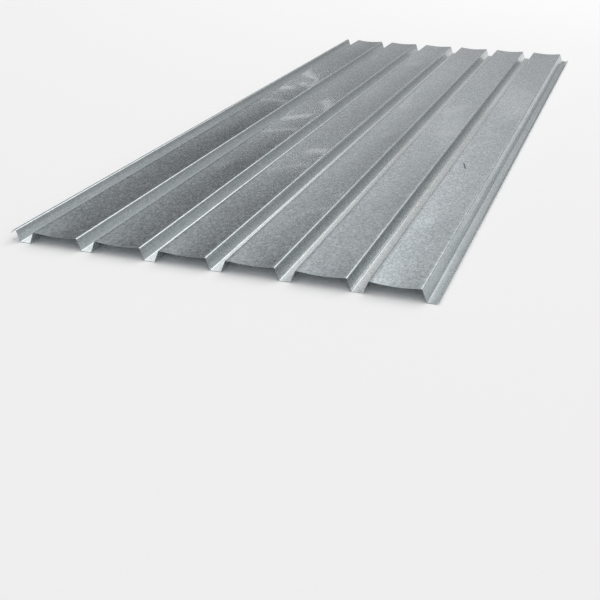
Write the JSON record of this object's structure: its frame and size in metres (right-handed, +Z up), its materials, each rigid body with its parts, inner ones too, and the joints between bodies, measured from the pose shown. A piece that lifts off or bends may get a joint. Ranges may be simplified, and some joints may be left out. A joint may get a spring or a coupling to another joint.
{
  "type": "corrugated metal sheet",
  "caption": "Long galvanized steel sheet of trapezoidal profile, with wide shallow pans between narrow ribs, a turned-down drip edge on one side and a lap edge on the other.",
  "frame": {"origin": "centre of the sheet's outline, on the level that the rib floors stand on", "axes": "+Y along the ribs, +X across the ribs from the drip edge to the lap edge, +Z up through the pans"},
  "size_m": [0.7576, 2, 0.022],
  "materials": {
    "galvanized_steel": "hot-dip zinc, fine grained, satin grey"
  },
  "bodies": {
    "root": {"sheet": "galvanized_steel"}
  },
  "joints": []
}
